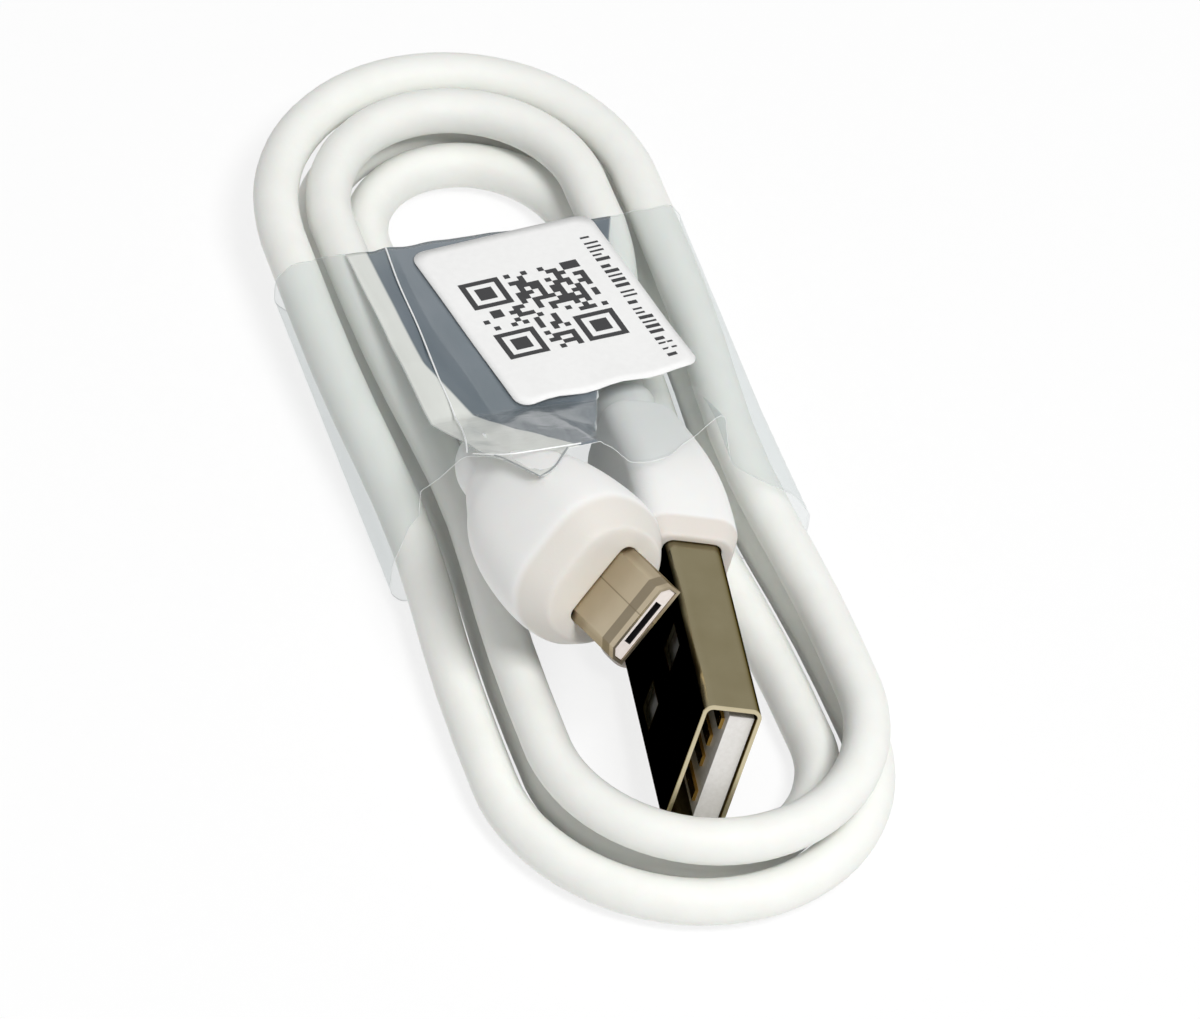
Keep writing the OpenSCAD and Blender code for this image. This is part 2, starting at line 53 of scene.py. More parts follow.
# %% Camera
IMAGE_W = 1200
AZIMUTH, ELEVATION, ROLL = (math.radians(a) for a in (66.74, 44.67, 7.86))
DISTANCE = 900 * MM
AIM = Vector((4.2, 0.8, 4.6)) * MM
FOCAL_PIXELS = 11992
SENSOR = 36

camera_data = bpy.data.cameras.new("camera")
camera = bpy.data.objects.new("camera", camera_data)
bpy.context.scene.collection.objects.link(camera)
toward_eye = Vector((math.cos(ELEVATION) * math.sin(AZIMUTH),
                     -math.cos(ELEVATION) * math.cos(AZIMUTH), math.sin(ELEVATION)))
level = toward_eye.cross(Vector((0, 0, 1))).normalized() * -1
upward = toward_eye.cross(level)
right = level * math.cos(ROLL) + upward * math.sin(ROLL)
up = upward * math.cos(ROLL) - level * math.sin(ROLL)
spin = Matrix((right, up, toward_eye)).transposed().to_4x4()
camera.matrix_world = Matrix.Translation(AIM + toward_eye * DISTANCE) @ spin
camera_data.sensor_fit = "HORIZONTAL"
camera_data.sensor_width = SENSOR
camera_data.lens = FOCAL_PIXELS / IMAGE_W * SENSOR
camera_data.clip_start = 10 * MM
camera_data.clip_end = 10
bpy.context.scene.camera = camera
print("lens", round(camera_data.lens), "mm, up", [round(v, 3) for v in up])

# %% [markdown]
# ## The cable's line
# A real cable is one length of rubber tube, so it gets one centreline. It leaves the USB-A
# plug, joins the hank, winds round it in two layers and ends in the micro plug. The turns come
# from the same law as the solids: half ellipses at the ends, straight runs that draw in at the
# waist, and a spiral that goes out below and comes in above. A formula is best here, because
# neighbouring turns then keep an even gap all the way round.

# %% The winding law
CABLE_D = 3.5
HANK_L, HANK_W, HANK_X, HANK_Y = 87.2, 30.6, -0.2, 0.4
END_FULLNESS = 1.04
TURN_GAP = 0.56
WAIST_IN, WAIST_LEN, WAIST_X = 1.2, 12, 2.5
FILM_T, REST_GAP = 0.2, 0.06
TURN_START, TURN_CLIMB, TURN_END, CLIMB_HALF = 0.5625, 2.5, 3.9375, 0.09
PITCH = CABLE_D + TURN_GAP
LAYER_LOW = FILM_T + REST_GAP + CABLE_D / 2
LAYER_HIGH = LAYER_LOW + PITCH
END_SHARE, RUN_SHARE = 4.5 / 24, 3 / 24


def waist(x):
    return WAIST_IN * math.exp(-((x - WAIST_X) / WAIST_LEN) ** 2)


def hank_point(turn):
    share = (turn + 0.25) % 1
    inset = PITCH * abs(turn - TURN_CLIMB)
    side = HANK_W / 2 - inset
    end = side * END_FULLNESS
    run = HANK_L / 2 - inset - end
    if END_SHARE < share < END_SHARE + RUN_SHARE:
        x, y = run * (2 * (share - END_SHARE) / RUN_SHARE - 1), side
    elif 3 * END_SHARE + RUN_SHARE < share < 3 * END_SHARE + 2 * RUN_SHARE:
        x, y = run * (1 - 2 * (share - 3 * END_SHARE - RUN_SHARE) / RUN_SHARE), -side
    elif END_SHARE + RUN_SHARE <= share <= 3 * END_SHARE + RUN_SHARE:
        angle = math.pi / 2 * (1 - (share - END_SHARE - RUN_SHARE) / END_SHARE)
        x, y = run + end * math.cos(angle), side * math.sin(angle)
    else:
        back = share if share <= END_SHARE else share - 1
        angle = math.pi - math.pi / 2 * back / END_SHARE
        x, y = -run + end * math.cos(angle), side * math.sin(angle)
    x += HANK_X
    climb = min(1, max(0, (turn - TURN_CLIMB + CLIMB_HALF) / (2 * CLIMB_HALF)))
    z = LAYER_LOW + PITCH * climb * climb * (3 - 2 * climb)
    return Vector((x, y * (1 - waist(x) / side) + HANK_Y, z))


print("layers at", round(LAYER_LOW, 2), "and", round(LAYER_HIGH, 2), "mm")

# %% Where the plugs lie
A_MOUTH, A_TURN = Vector((36.9, -1.6, 10.3)), (-11, -5.5, -9.5)
M_MOUTH, M_TURN = Vector((28.55, -5, 18)), (43, -12, 12)
A_SHELL_L, A_GRIP_L, A_NECK_L = 18.75, 20, 3.5
M_SHELL_L, M_GRIP_L, M_NECK_L = 5.6, 12.5, 4


def place(mouth, turn):
    lean, pitch, heading = (math.radians(a) for a in turn)
    spin = (Matrix.Rotation(heading, 4, "Z") @ Matrix.Rotation(pitch, 4, "Y")
            @ Matrix.Rotation(lean, 4, "X"))
    return Matrix.Translation(mouth) @ spin


A_PLACE, M_PLACE = place(A_MOUTH, A_TURN), place(M_MOUTH, M_TURN)
A_END = A_PLACE @ Vector((-A_SHELL_L - A_GRIP_L - A_NECK_L, 0, 0))
M_END = M_PLACE @ Vector((-M_SHELL_L - M_GRIP_L - M_NECK_L, 0, 0))
A_AXIS = (A_PLACE.to_3x3() @ Vector((1, 0, 0))).normalized()
M_AXIS = (M_PLACE.to_3x3() @ Vector((1, 0, 0))).normalized()
print("neck ends", [round(v, 2) for v in (*A_END, *M_END)])

# %% [markdown]
# The two leads follow listed points. A smooth curve through them (Catmull-Rom) keeps
# the tube from kinking where it turns out of the hank.

# %% The whole route
LEAD_STRAIGHT = 1
A_ROUTE = [(-20.4, 9.5, 6), (-16.5, 8.6, 5.9), (-12.5, 7.4, 5.9), (-8.5, 6.2, 6)]
M_ROUTE = [(-18, -6.9, 2.6), (-11.7, -6.5, 4), (-5.3, -6.7, 6.2), (-0.4, -7.1, 8.7),
           (3.2, -8.7, 11.3)]
POINTS_PER_TURN = 96
ALONG = Vector((1, 0, 0))


def smooth_through(points, steps=6):
    points = [Vector(p) for p in points]
    ends = [points[0] * 2 - points[1], *points, points[-1] * 2 - points[-2]]
    line = []
    for before, a, b, after in zip(ends, ends[1:], ends[2:], ends[3:]):
        for k in range(steps):
            t = k / steps
            line.append(0.5 * ((2 * a) + (b - before) * t
                               + (2 * before - 5 * a + 4 * b - after) * t ** 2
                               + (3 * a - before - 3 * b + after) * t ** 3))
    return [*line, points[-1]]


turns = round((TURN_END - TURN_START) * POINTS_PER_TURN)
wound = [hank_point(TURN_START + k / POINTS_PER_TURN) for k in range(turns + 1)]
hank_first, hank_last = wound[0] + ALONG * CABLE_D, wound[-1] + ALONG * CABLE_D
lead_a = smooth_through([A_END, A_END - A_AXIS * LEAD_STRAIGHT, *A_ROUTE[::-1],
                         hank_last + ALONG * LEAD_STRAIGHT, hank_last])
lead_m = smooth_through([hank_first, hank_first + ALONG * LEAD_STRAIGHT, *M_ROUTE,
                         M_END - M_AXIS * LEAD_STRAIGHT, M_END])
route = [*lead_a, *wound[::-1], *lead_m]

# %% Draw the cable
line = bpy.data.curves.new("cable", "CURVE")
line.dimensions = "3D"
line.bevel_depth = 1
line.bevel_resolution = 7
spline = line.splines.new("POLY")
spline.points.add(len(route) - 1)
for point, at in zip(spline.points, route):
    point.co = (*(at * MM), 1)
    point.radius = CABLE_D / 2 * MM
spline.use_smooth = True
cable = bpy.data.objects.new("cable", line)
bpy.context.scene.collection.objects.link(cable)
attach(cable, "cable")
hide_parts("cable_hank", "cable_lead_usb_a", "cable_lead_micro")

# %% [markdown]
# ## Helpers for materials
# Colours are written as people see them (sRGB hex) and turned to the linear values that the
# renderer mixes. One function adds any node, sets its inputs and links it.

# %% Colour and node helpers
def paint(code):
    parts = [int(code[i:i + 2], 16) / 255 for i in (1, 3, 5)]
    return (*[p / 12.92 if p <= 0.04045 else ((p + 0.055) / 1.055) ** 2.4 for p in parts], 1)


def add(tree, kind, inputs=(), **settings):
    """Adds a node. Each input gets a value, or the node or socket that feeds it."""
    node = tree.nodes.new(kind)
    for name, value in settings.items():
        setattr(node, name, value)
    for name, value in dict(inputs).items():
        socket = next(s for s in node.inputs if s.enabled and name in (s.name, s.identifier))
        if isinstance(value, bpy.types.Node):
            value = next(s for s in value.outputs if s.enabled)
        if isinstance(value, bpy.types.NodeSocket):
            tree.links.new(value, socket)
        else:
            socket.default_value = value
    return node


def new_material(name):
    made = bpy.data.materials.new(name)
    made.use_nodes = True
    made.node_tree.nodes.clear()
    where = add(made.node_tree, "ShaderNodeTexCoord").outputs["Object"]
    return made, made.node_tree, where


def per_mm(size):
    """Noise scale that gives blotches about size millimetres across."""
    return 1 / (size * MM)


print("white is", [round(v, 3) for v in paint("#FFFFFF")])

# %% [markdown]
# ## Rubbery whites
# The cable's jacket is extruded TPE, a rubbery plastic. Extrusion leaves it smooth, with a soft
# satin sheen and the faintest waviness along its length. The grips are the same family of
# plastic, but moulded against a finely sparked steel tool, which gives a more matt, grainy skin.
# Both let a little light in, so a small subsurface share softens their shadows.

# %% Extruded TPE jacket
def extruded_tpe():
    made, tree, where = new_material("extruded TPE jacket")
    wave = add(tree, "ShaderNodeTexNoise", {"Vector": where, "Scale": per_mm(2.5)})
    fine = add(tree, "ShaderNodeTexNoise", {"Vector": where, "Scale": per_mm(0.3), "Detail": 3})
    tint = add(tree, "ShaderNodeMix", {"Factor": wave, "A": paint("#EEEFEA"),
                                       "B": paint("#F6F7F3")}, data_type="RGBA")
    satin = add(tree, "ShaderNodeMapRange", {"Value": fine, "To Min": 0.46, "To Max": 0.62})
    relief = add(tree, "ShaderNodeBump", {"Height": wave, "Distance": 0.04 * MM})
    skin = add(tree, "ShaderNodeBump", {"Height": fine, "Distance": 0.008 * MM,
                                        "Normal": relief})
    rubber = add(tree, "ShaderNodeBsdfPrincipled", {
        "Base Color": tint, "Roughness": satin, "IOR": 1.5, "Specular IOR Level": 0.3,
        "Subsurface Weight": 0.1, "Subsurface Scale": 0.6 * MM, "Normal": skin})
    add(tree, "ShaderNodeOutputMaterial", {"Surface": rubber})
    return made


JACKET = extruded_tpe()
cable.data.materials.append(JACKET)
print(JACKET.name, "with", len(JACKET.node_tree.nodes), "nodes")


# %% Moulded TPE grips
# The front two millimetres of a grip are thin over the metal shell. Each grip fades to a warm
# grey along its own nose, in the plug's own frame. That grey is painted shade on the front bevel.
def moulded_tpe(name, mouth, turn, fade_from, fade_to, nose_shade_tint):
    made, tree, where = new_material(name)
    own = add(tree, "ShaderNodeMapping", {
        "Vector": where, "Location": mouth * MM,
        "Rotation": [math.radians(a) for a in turn]}, vector_type="TEXTURE")
    nose = add(tree, "ShaderNodeSeparateXYZ", {"Vector": own})
    nose_shade = add(tree, "ShaderNodeMapRange", {
        "Value": nose.outputs["X"], "From Min": fade_from * MM, "From Max": fade_to * MM},
        interpolation_type="SMOOTHSTEP")
    fine = add(tree, "ShaderNodeTexNoise", {"Vector": where, "Scale": per_mm(0.2), "Detail": 3})
    wide = add(tree, "ShaderNodeTexNoise", {"Vector": where, "Scale": per_mm(5)})
    body = add(tree, "ShaderNodeMix", {"Factor": wide, "A": paint("#F1F1EF"),
                                       "B": paint("#F8F8F6")}, data_type="RGBA")
    tint = add(tree, "ShaderNodeMix", {"Factor": nose_shade, "A": body, "B": paint(nose_shade_tint)},
               data_type="RGBA")
    matt = add(tree, "ShaderNodeMapRange", {"Value": fine, "To Min": 0.42, "To Max": 0.6})
    skin = add(tree, "ShaderNodeBump", {"Height": fine, "Distance": 0.014 * MM})
    rubber = add(tree, "ShaderNodeBsdfPrincipled", {
        "Base Color": tint, "Roughness": matt, "IOR": 1.5, "Specular IOR Level": 0.3,
        "Subsurface Weight": 0.1, "Subsurface Scale": 0.8 * MM, "Normal": skin})
    add(tree, "ShaderNodeOutputMaterial", {"Surface": rubber})
    return made


# The last colour of each grip is the painted shade on its nose.
A_GRIP = moulded_tpe("moulded TPE grip USB-A", A_MOUTH, A_TURN, -20.7, -20.2, "#DDD7D0")
M_GRIP = moulded_tpe("moulded TPE grip micro", M_MOUTH, M_TURN, -8.3, -7.6, "#E0DCD5")
print(A_GRIP.name, "and", M_GRIP.name)

# %% [markdown]
# ## The grips
# A moulded grip is a soft box whose outline changes along the plug. Lofting suits it: rounded
# outlines are set one behind another and joined, and a subdivision surface melts the steps into
# a moulded form. Two outlines close together hold an edge crisp, and a wide step makes a broad
# bevel. The mould leaves a hole at the nose for the shell, and one at the back for the cable.

# %% Outlines and lofting
CORNER_POINTS = 6


def rounded_outline(x, wide, high, radius):
    """A rounded rectangle across the plug at x, wide in y and high in z."""
    points = []
    for quarter in range(4):
        turn = math.radians(90 * quarter)
        sign_y = 1 if quarter in (0, 3) else -1
        sign_z = 1 if quarter in (0, 1) else -1
        for k in range(CORNER_POINTS):
            angle = turn + math.pi / 2 * k / (CORNER_POINTS - 1)
            points.append(Vector((x, sign_y * (wide / 2 - radius) + radius * math.cos(angle),
                                  sign_z * (high / 2 - radius) + radius * math.sin(angle))))
    return points


def mesh_data(name, mesh):
    """Stores a working mesh under its name and frees the working copy."""
    data = bpy.data.meshes.new(name)
    mesh.to_mesh(data)
    mesh.free()
    return data


def loft(name, rings, where, look, levels=1):
    """Joins outlines of equal count to one skin, placed by the plug's own frame."""
    mesh = bmesh.new()
    rows = [[mesh.verts.new((where @ point) * MM) for point in ring] for ring in rings]
    count = len(rows[0])
    for row, after in zip(rows, rows[1:]):
        for i in range(count):
            mesh.faces.new((row[i], row[(i + 1) % count], after[(i + 1) % count], after[i]))
    bmesh.ops.recalc_face_normals(mesh, faces=mesh.faces)
    data = mesh_data(name, mesh)
    data.shade_smooth()
    data.materials.append(look)
    piece = bpy.data.objects.new(name, data)
    bpy.context.scene.collection.objects.link(piece)
    if levels:
        rounder = piece.modifiers.new("rounder", "SUBSURF")
        rounder.levels = rounder.render_levels = levels
    return piece


# %% The USB-A grip
SEAT = 0.04


def cable_seat(x):
    """The mouth round the cable at the very back of a neck."""
    edge = CABLE_D + 2 * SEAT
    return [rounded_outline(x, edge, edge, edge * 0.48),
            rounded_outline(x + 0.8, edge, edge, edge * 0.48)]


def a_grip_rings():
    front = -A_SHELL_L
    nose = [(front - 0.5, 4.54, 12.04, 0.8), (front, 4.54, 12.04, 0.8), (front, 4.8, 12.3, 0.9),
            (front, 6.2, 12.9, 1.5), (front - 0.12, 6.6, 13.25, 1.6)]
    body = [(front - 0.4, 6.8, 13.5, 1.7), (front - 1.5, 7.6, 14.3, 2),
            (front - 1.8, 7.7, 14.4, 2), (front - 2.2, 7.7, 14.4, 2),
            (front - 6, 7.7, 14.4, 2), (front - 10, 7.25, 13.3, 2),
            (front - 14.5, 6.75, 10.4, 1.9), (front - 18.6, 6.15, 7.5, 1.8),
            (front - 19.6, 5.9, 7.1, 1.8), (front - 19.9, 5.5, 6.6, 1.9)]
    neck = [(front - 20, 5.2, 5.3, 2.6), (front - 20.02, 4.95, 4.95, 2.47),
            (front - 20.3, 4.9, 4.9, 2.45), (front - 23.1, 4.8, 4.8, 2.4),
            (front - 23.4, 4.6, 4.6, 2.3), (front - 23.5, 4.1, 4.1, 2.05)]
    return [rounded_outline(*ring) for ring in (*nose, *body, *neck)] + cable_seat(front - 23.5)


grip_a = loft("grip_usb_a", a_grip_rings(), A_PLACE, A_GRIP, levels=2)
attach(grip_a, "cable")
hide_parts("usb_a_overmould")
print("USB-A grip", len(grip_a.data.vertices), "points before rounding")


# %% The micro grip
# Behind its neck the mould goes on as a short tapered sleeve round the cable, so that the cable
# can't fold there. The sleeve's outlines are round and stand square to the cable's line.
SLEEVE_L, SLEEVE_STEP = 5.2, 0.6
SLEEVE_R0, SLEEVE_R1 = 2.45, 1.95


def back_from(points, reach):
    """The stretch of a path from its last point back to a given distance."""
    kept, walked = [points[-1]], 0
    for a, b in zip(points[::-1], points[-2::-1]):
        walked += (b - a).length
        if (b - kept[-1]).length > SLEEVE_STEP and walked < reach:
            kept.append(b)
    return kept


def rings_along(path, radii, sideways):
    """Round outlines square to a path. Their first point lies sideways, as a plug's does."""
    rings = []
    for k, (point, radius) in enumerate(zip(path, radii)):
        along = (path[min(k + 1, len(path) - 1)] - path[max(k - 1, 0)]).normalized()
        side = (sideways - along * sideways.dot(along)).normalized()
        rise = side.cross(along)
        rings.append([point + side * p.y + rise * p.z for p in
                      rounded_outline(0, 2 * radius, 2 * radius, 0.96 * radius)])
    return rings


def m_grip_rings():
    front = -M_SHELL_L
    nose = [(front - 0.5, 6.89, 1.84, 0.75), (front, 6.89, 1.84, 0.75), (front, 7.2, 2.3, 1),
            (front, 9.3, 7.2, 3.2), (front - 0.12, 9.8, 7.9, 3.5)]
    body = [(front - 0.5, 10.3, 8.6, 3.8), (front - 2, 11.9, 10.3, 4.4),
            (front - 2.5, 12.4, 10.8, 4.55), (front - 3.1, 12.6, 11, 4.6),
            (front - 5, 12.6, 11, 4.6), (front - 8, 11.9, 10.6, 4.4),
            (front - 10.6, 10.6, 9.9, 4.2), (front - 12.2, 9.2, 8.8, 3.9)]
    neck = [(front - 13.3, 7.9, 7.6, 3.5), (front - 14.4, 6.9, 6.7, 3.1),
            (front - 15.5, 5.7, 5.6, 2.6)]
    return [[M_PLACE @ p for p in rounded_outline(*ring)] for ring in (*nose, *body, *neck)]


def sleeve_rings():
    path = back_from(lead_m, SLEEVE_L)
    sideways = M_PLACE.to_3x3() @ Vector((0, 1, 0))
    steps = len(path) - 1
    radii = [SLEEVE_R0 + (SLEEVE_R1 - SLEEVE_R0) * k / steps for k in range(steps + 1)]
    rings = rings_along(path, radii, sideways)
    mouth = rings_along(path[-2:], (CABLE_D / 2 + SEAT,) * 2, sideways)
    return rings + mouth[::-1]


grip_m = loft("grip_micro", m_grip_rings() + sleeve_rings(), Matrix(), M_GRIP, levels=2)
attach(grip_m, "cable")
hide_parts("micro_overmould")
print("micro grip", len(grip_m.data.vertices), "points before rounding")

# %% [markdown]
# ## Metals
# Both shells are stamped from thin sheet and plated. The USB-A one is bright nickel over
# steel, which mirrors what stands round it with a warm olive cast. Its wide faces are painted
# near black, a painted dark reflection, and the rim of its mouth is painted bright, a painted
# highlight. The micro shell is a champagne-coloured nickel with a satin, tumbled skin, and
# it is rolled to a slightly darker lip at the mouth. Stamping leaves faint lines along the
# drawing direction, so the noise is stretched along the plug.

# %% Plated steel
def apart(tree, value, least):
    """Distance of a coordinate from a place given in mm."""
    off = add(tree, "ShaderNodeMath", {"Value": value, "Value_001": least * MM},
              operation="SUBTRACT")
    return add(tree, "ShaderNodeMath", {"Value": off}, operation="ABSOLUTE")


def window_edge_highlights(tree, part):
    """Painted highlight: the cut edges of the two square windows in each wide face are bright."""
    across = add(tree, "ShaderNodeMath", {"Value": part.outputs["Z"]}, operation="ABSOLUTE")
    out = add(tree, "ShaderNodeMath", {
        "Value": apart(tree, part.outputs["X"], -10.2), "Value_001": apart(tree, across, 2.85)},
        operation="MAXIMUM")
    return add(tree, "ShaderNodeMapRange", {
        "Value": apart(tree, out, 1.3), "From Min": 0.05 * MM, "From Max": 0.11 * MM,
        "To Min": 0.8, "To Max": 0})


def seam(tree, part):
    """The butt seam where the micro shell's sheet closes runs along its middle."""
    return add(tree, "ShaderNodeMapRange", {
        "Value": apart(tree, part.outputs["Y"], 0.4), "From Min": 0.02 * MM,
        "From Max": 0.07 * MM, "To Min": 0.7, "To Max": 0})


def plated_steel(name, mouth, turn, tints, rough, lip, slant_tint, mark):
    """tints: narrow face, wide face, lip, stain and mark. The lip lies behind the mouth."""
    made, tree, where = new_material(name)
    own = add(tree, "ShaderNodeMapping", {
        "Vector": where, "Location": mouth * MM,
        "Rotation": [math.radians(a) for a in turn]}, vector_type="TEXTURE")
    along = add(tree, "ShaderNodeMapping", {"Vector": own, "Scale": (0.06, 1, 1)})
    lines = add(tree, "ShaderNodeTexNoise", {"Vector": along, "Scale": per_mm(0.12),
                                             "Detail": 4})
    stain = add(tree, "ShaderNodeTexNoise", {"Vector": where, "Scale": per_mm(3), "Detail": 4})
    part = add(tree, "ShaderNodeSeparateXYZ", {"Vector": own})
    depth = add(tree, "ShaderNodeMath", {"Value": part.outputs[lip["axis"]]},
                operation="ABSOLUTE")
    wide = add(tree, "ShaderNodeMapRange", {
        "Value": depth, "From Min": lip["inner"] * MM, "From Max": lip["outer"] * MM})
    plating_and_reflection = add(tree, "ShaderNodeMix", {"Factor": wide, "A": paint(tints[0]),
                                        "B": paint(tints[1])}, data_type="RGBA")
    edge = add(tree, "ShaderNodeMapRange", {
        "Value": part.outputs["X"], "From Min": -(lip["length"] + 0.06) * MM,
        "From Max": -lip["length"] * MM})
    rim = add(tree, "ShaderNodeMapRange", {
        "Value": part.outputs["X"], "From Min": (lip["end"] - 0.06) * MM,
        "From Max": lip["end"] * MM, "To Min": 1, "To Max": 0})
    band = add(tree, "ShaderNodeMath", {"Value": edge, "Value_001": rim}, operation="MULTIPLY")
    lipped = add(tree, "ShaderNodeMix", {"Factor": band, "A": plating_and_reflection, "B": paint(tints[2])},
                 data_type="RGBA")
    marked = add(tree, "ShaderNodeMix", {"Factor": mark(tree, part), "A": lipped,
                                         "B": paint(tints[4])}, data_type="RGBA")
    dulled = add(tree, "ShaderNodeMix", {"Factor": stain, "A": marked, "B": paint(tints[3])},
                 data_type="RGBA", blend_type="MULTIPLY")
    polish = add(tree, "ShaderNodeMapRange", {"Value": stain, "To Min": rough - 0.05,
                                              "To Max": rough + 0.07})
    relief = add(tree, "ShaderNodeBump", {"Height": lines, "Distance": 0.003 * MM,
                                          "Strength": 0.6})
    metal = add(tree, "ShaderNodeBsdfPrincipled", {
        "Base Color": dulled, "Metallic": 1.0, "Roughness": polish, "Normal": relief,
        "Specular Tint": paint(slant_tint)})
    add(tree, "ShaderNodeOutputMaterial", {"Surface": metal})
    return made


# Wide face colour here: painted dark reflection. Lip and mark colours: painted highlights.
NICKEL = plated_steel(
    "stamped nickel-plated steel", A_MOUTH, A_TURN,
    ("#8F876E", "#1E1D19", "#D3C8AA", "#E6E4DC", "#8D8876"), 0.17, slant_tint="#3A3730",
    lip={"axis": "Y", "inner": 1.95, "outer": 2.2, "length": 0.1, "end": 1}, mark=window_edge_highlights)
CHAMPAGNE = plated_steel(
    "tumbled champagne nickel", M_MOUTH, M_TURN,
    ("#B0A48F", "#BFB39D", "#8E8472", "#EFECE4", "#7C725F"), 0.34, slant_tint="#B8AD98",
    lip={"axis": "Z", "inner": 0.5, "outer": 0.8, "length": 1.5, "end": -0.5}, mark=seam)
print(NICKEL.name, "and", CHAMPAGNE.name)


# %% Small metals and plastics
# Gold plate is warm and bright, solder is grey and frosty, spring steel is neutral and polished.
# The insulators are glass-filled LCP, a plastic that looks dry and slightly cloudy.
def worked(name, light, dark, size, rough, metallic=0.0, relief=0.01, ior=None):
    made, tree, where = new_material(name)
    cloud = add(tree, "ShaderNodeTexNoise", {"Vector": where, "Scale": per_mm(size),
                                             "Detail": 4})
    tint = add(tree, "ShaderNodeMix", {"Factor": cloud, "A": paint(dark), "B": paint(light)},
               data_type="RGBA")
    gloss = add(tree, "ShaderNodeMapRange", {"Value": cloud, "To Min": rough - 0.06,
                                             "To Max": rough + 0.08})
    skin = add(tree, "ShaderNodeBump", {"Height": cloud, "Distance": relief * MM})
    shader = add(tree, "ShaderNodeBsdfPrincipled", {
        "Base Color": tint, "Metallic": metallic, "Roughness": gloss, "Normal": skin})
    if ior:
        shader.inputs["IOR"].default_value = ior
    add(tree, "ShaderNodeOutputMaterial", {"Surface": shader})
    return made


def dress(look, *names):
    for name in names:
        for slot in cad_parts[name].material_slots:
            slot.material = look


GOLD = worked("gold-plated bronze", "#E3BE6B", "#BE9548", 0.4, 0.24, metallic=1.0)
SOLDER = worked("tin solder", "#C9CBCC", "#9EA1A3", 0.25, 0.4, metallic=1.0, relief=0.03)
SPRING = worked("polished spring steel", "#D2D0CB", "#B1AEA7", 0.5, 0.22, metallic=1.0)
TONGUE = worked("glass-filled LCP white", "#F1EFEC", "#DEDBD6", 0.35, 0.5, ior=1.6)
IVORY = worked("glass-filled LCP ivory", "#F6EFEA", "#EADFD8", 0.35, 0.5, ior=1.6)
dress(NICKEL, "usb_a_shell", "usb_a_rear_shield")
dress(CHAMPAGNE, "micro_shell", "micro_rear_shield")
dress(SPRING, "micro_latch_left", "micro_latch_right")
dress(GOLD, "usb_a_contacts", "micro_contacts")
dress(SOLDER, "usb_a_solder", "micro_solder")
dress(TONGUE, "usb_a_insulator")
dress(IVORY, "micro_insulator")
dress(JACKET, "usb_a_jacket_end", "micro_jacket_end")
for core, light, dark in (("red", "#C8302B", "#A92520"), ("white", "#F2F0EA", "#E0DDD5"),
                          ("green", "#2F9150", "#247540"), ("black", "#2B2B2C", "#1B1B1C")):
    look = worked(f"extruded PVC {core}", light, dark, 0.6, 0.42, ior=1.53)
    dress(look, f"usb_a_wire_{core}", f"micro_wire_{core}")
print("dressed", len(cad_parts), "solids of the frame")

# %% Slot of the micro plug and windows of the USB-A shell
# The slot takes the socket's tongue. Its walls and a thin flange are painted near black, a
# painted shade, so it reads as a dark slit in the pale face. Behind the two windows over the
# contacts of the USB-A shell stands a dark plate, painted shade for the inside of the shell.
SLOT_SHADE = worked("painted shade in the slot", "#19181A", "#0C0C0D", 0.3, 0.5, ior=1.6)
WINDOW_SHADE = worked("painted shade behind the windows", "#35332E", "#23221F", 0.6, 0.45, metallic=1.0)
slot_rings = [rounded_outline(-0.11, 4.5, 0.98, 0.14), rounded_outline(-0.11, 3.66, 0.62, 0.06),
              rounded_outline(-4.5, 3.66, 0.62, 0.06)]
slot_shade_piece = loft("micro_slot_shade", slot_rings, M_PLACE, SLOT_SHADE, levels=0)
slot_shade_piece.data.shade_flat()
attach(slot_shade_piece, "cable")
WINDOW_SHADE_BOX = (-14.5, -6.5, -1.92, -1.84, 5.1)


def window_shade_plate():
    """A thin dark plate, painted shade, just under one wide face, behind both of its windows."""
    x0, x1, y0, y1, z = WINDOW_SHADE_BOX
    mesh = bmesh.new()
    bmesh.ops.create_cube(mesh, size=1)
    for vert in mesh.verts:
        u, v, w = vert.co
        vert.co = (A_PLACE @ Vector((x0 + (x1 - x0) * (u + 0.5), y0 + (y1 - y0) * (v + 0.5),
                                     2 * z * w))) * MM
    bmesh.ops.bevel(mesh, geom=mesh.edges, offset=0.02 * MM, segments=1, affect="EDGES")
    data = mesh_data("usb_a_window_shade", mesh)
    data.materials.append(WINDOW_SHADE)
    return data


shade_plate = bpy.data.objects.new("usb_a_window_shade", window_shade_plate())
bpy.context.scene.collection.objects.link(shade_plate)
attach(shade_plate, "cable")
print("slot 3.7 x 0.65 mm, liner", WINDOW_SHADE_BOX[1] - WINDOW_SHADE_BOX[0], "mm long")

# %% [markdown]
# ## The film band
# The band is a strip of clear polypropylene wrapped once round the bundle and welded to itself.
# It is stretched over the cable at the far end and rides up over the plugs at the near end.
# Cloth simulation could drape it, but the band is under tension, so a lofted tube whose outline
# follows what it touches is truer and quicker. Small wrinkles come from a fixed noise field and
# only ever lift outwards, so the film never dips into the cable.

